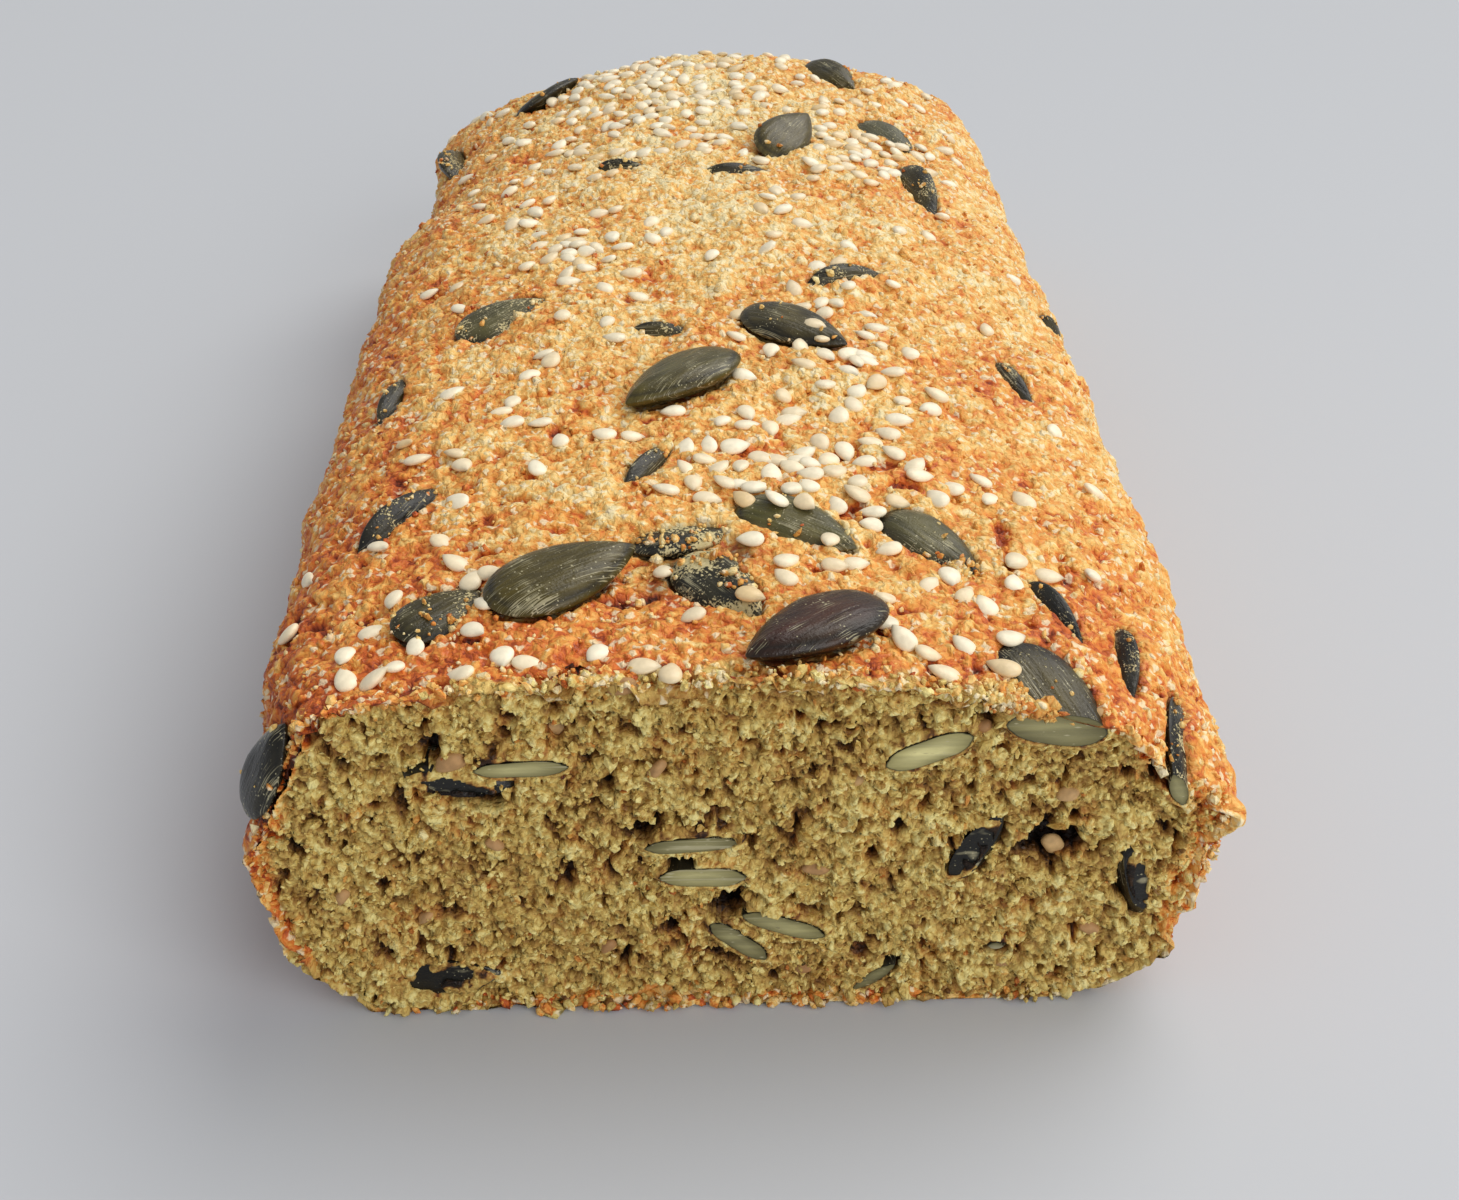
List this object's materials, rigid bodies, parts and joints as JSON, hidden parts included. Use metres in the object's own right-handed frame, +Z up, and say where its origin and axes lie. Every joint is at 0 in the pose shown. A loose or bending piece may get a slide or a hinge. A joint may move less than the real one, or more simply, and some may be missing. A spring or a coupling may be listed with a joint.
{
  "type": "bread loaf",
  "caption": "Lentil and teff tin loaf with one end cut off to show the crumb, pumpkin seeds and sesame baked into its crust.",
  "frame": {"origin": "on the flat base, under the middle of the loaf's box", "axes": "+Z up, +Y along the loaf from the cut face to the back end, +X to the right seen from the cut face"},
  "size_m": [0.1052, 0.1988, 0.0477],
  "materials": {
    "crust": "rough baked crust",
    "crumb": "coarse open crumb",
    "sesame": "smooth, faintly oily",
    "pumpkin_seed": "satin skin with fine pale scratches"
  },
  "bodies": {
    "root": {"loaf": "crust", "pumpkin_seed_01": "pumpkin_seed", "pumpkin_seed_02": "pumpkin_seed", "pumpkin_seed_03": "pumpkin_seed", "pumpkin_seed_04": "pumpkin_seed", "pumpkin_seed_05": "pumpkin_seed", "pumpkin_seed_06": "pumpkin_seed", "pumpkin_seed_07": "pumpkin_seed", "pumpkin_seed_08": "pumpkin_seed", "pumpkin_seed_09": "pumpkin_seed", "pumpkin_seed_10": "pumpkin_seed", "pumpkin_seed_11": "pumpkin_seed", "pumpkin_seed_12": "pumpkin_seed", "pumpkin_seed_13": "pumpkin_seed", "pumpkin_seed_14": "pumpkin_seed", "pumpkin_seed_15": "pumpkin_seed", "pumpkin_seed_16": "pumpkin_seed", "pumpkin_seed_17": "pumpkin_seed", "pumpkin_seed_18": "pumpkin_seed", "pumpkin_seed_19": "pumpkin_seed", "pumpkin_seed_20": "pumpkin_seed", "pumpkin_seed_21": "pumpkin_seed", "pumpkin_seed_22": "pumpkin_seed", "pumpkin_seed_23": "pumpkin_seed", "pumpkin_seed_24": "pumpkin_seed", "pumpkin_seed_25": "pumpkin_seed", "pumpkin_seed_26": "pumpkin_seed", "pumpkin_seed_27": "pumpkin_seed", "pumpkin_seed_28": "pumpkin_seed", "pumpkin_seed_29": "pumpkin_seed", "pumpkin_seed_30": "pumpkin_seed", "pumpkin_seed_31": "pumpkin_seed", "pumpkin_seed_32": "pumpkin_seed", "pumpkin_seed_33": "pumpkin_seed", "pumpkin_seed_34": "pumpkin_seed", "pumpkin_seed_35": "pumpkin_seed", "pumpkin_seed_36": "pumpkin_seed", "cut_seed_01": "pumpkin_seed", "cut_seed_02": "pumpkin_seed", "cut_seed_03": "pumpkin_seed", "cut_seed_04": "pumpkin_seed", "cut_seed_05": "pumpkin_seed", "cut_seed_06": "pumpkin_seed", "cut_seed_07": "pumpkin_seed", "cut_seed_08": "pumpkin_seed", "cut_seed_09": "pumpkin_seed", "cut_seed_10": "pumpkin_seed", "cut_seed_11": "pumpkin_seed", "cut_seed_12": "pumpkin_seed"}
  },
  "joints": []
}
